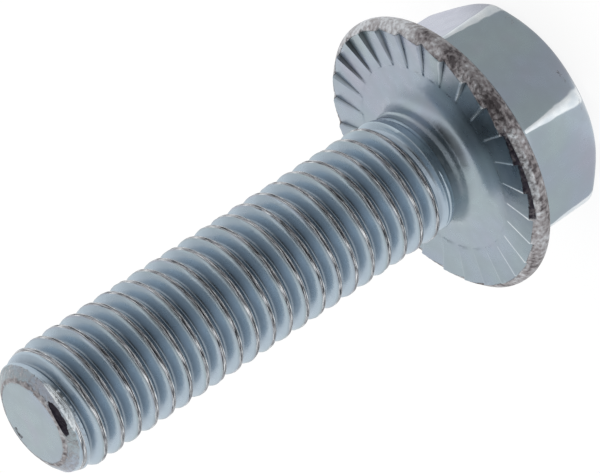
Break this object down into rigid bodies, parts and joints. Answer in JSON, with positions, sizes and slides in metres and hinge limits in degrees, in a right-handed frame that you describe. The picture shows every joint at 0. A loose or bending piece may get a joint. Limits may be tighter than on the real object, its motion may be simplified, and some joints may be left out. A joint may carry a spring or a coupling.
{
  "type": "serrated hexagon flange bolt",
  "caption": "Zinc-plated steel hexagon bolt with a forged flange, ratchet serrations under the head and a rolled coarse thread, for clamping parts without a loose washer",
  "frame": {"origin": "middle of the flat top of the head, on which the bolt stands", "axes": "+Z runs along the shank from the head to the thread's point, +X points at a corner of the hexagon, and Y completes a right-handed set"},
  "size_m": [0.0176, 0.0176, 0.0374],
  "materials": {
    "zinc_plated_steel": "satin electroplated zinc with a clear blue passivation"
  },
  "bodies": {
    "root": {"flange_bolt": "zinc_plated_steel"}
  },
  "joints": []
}
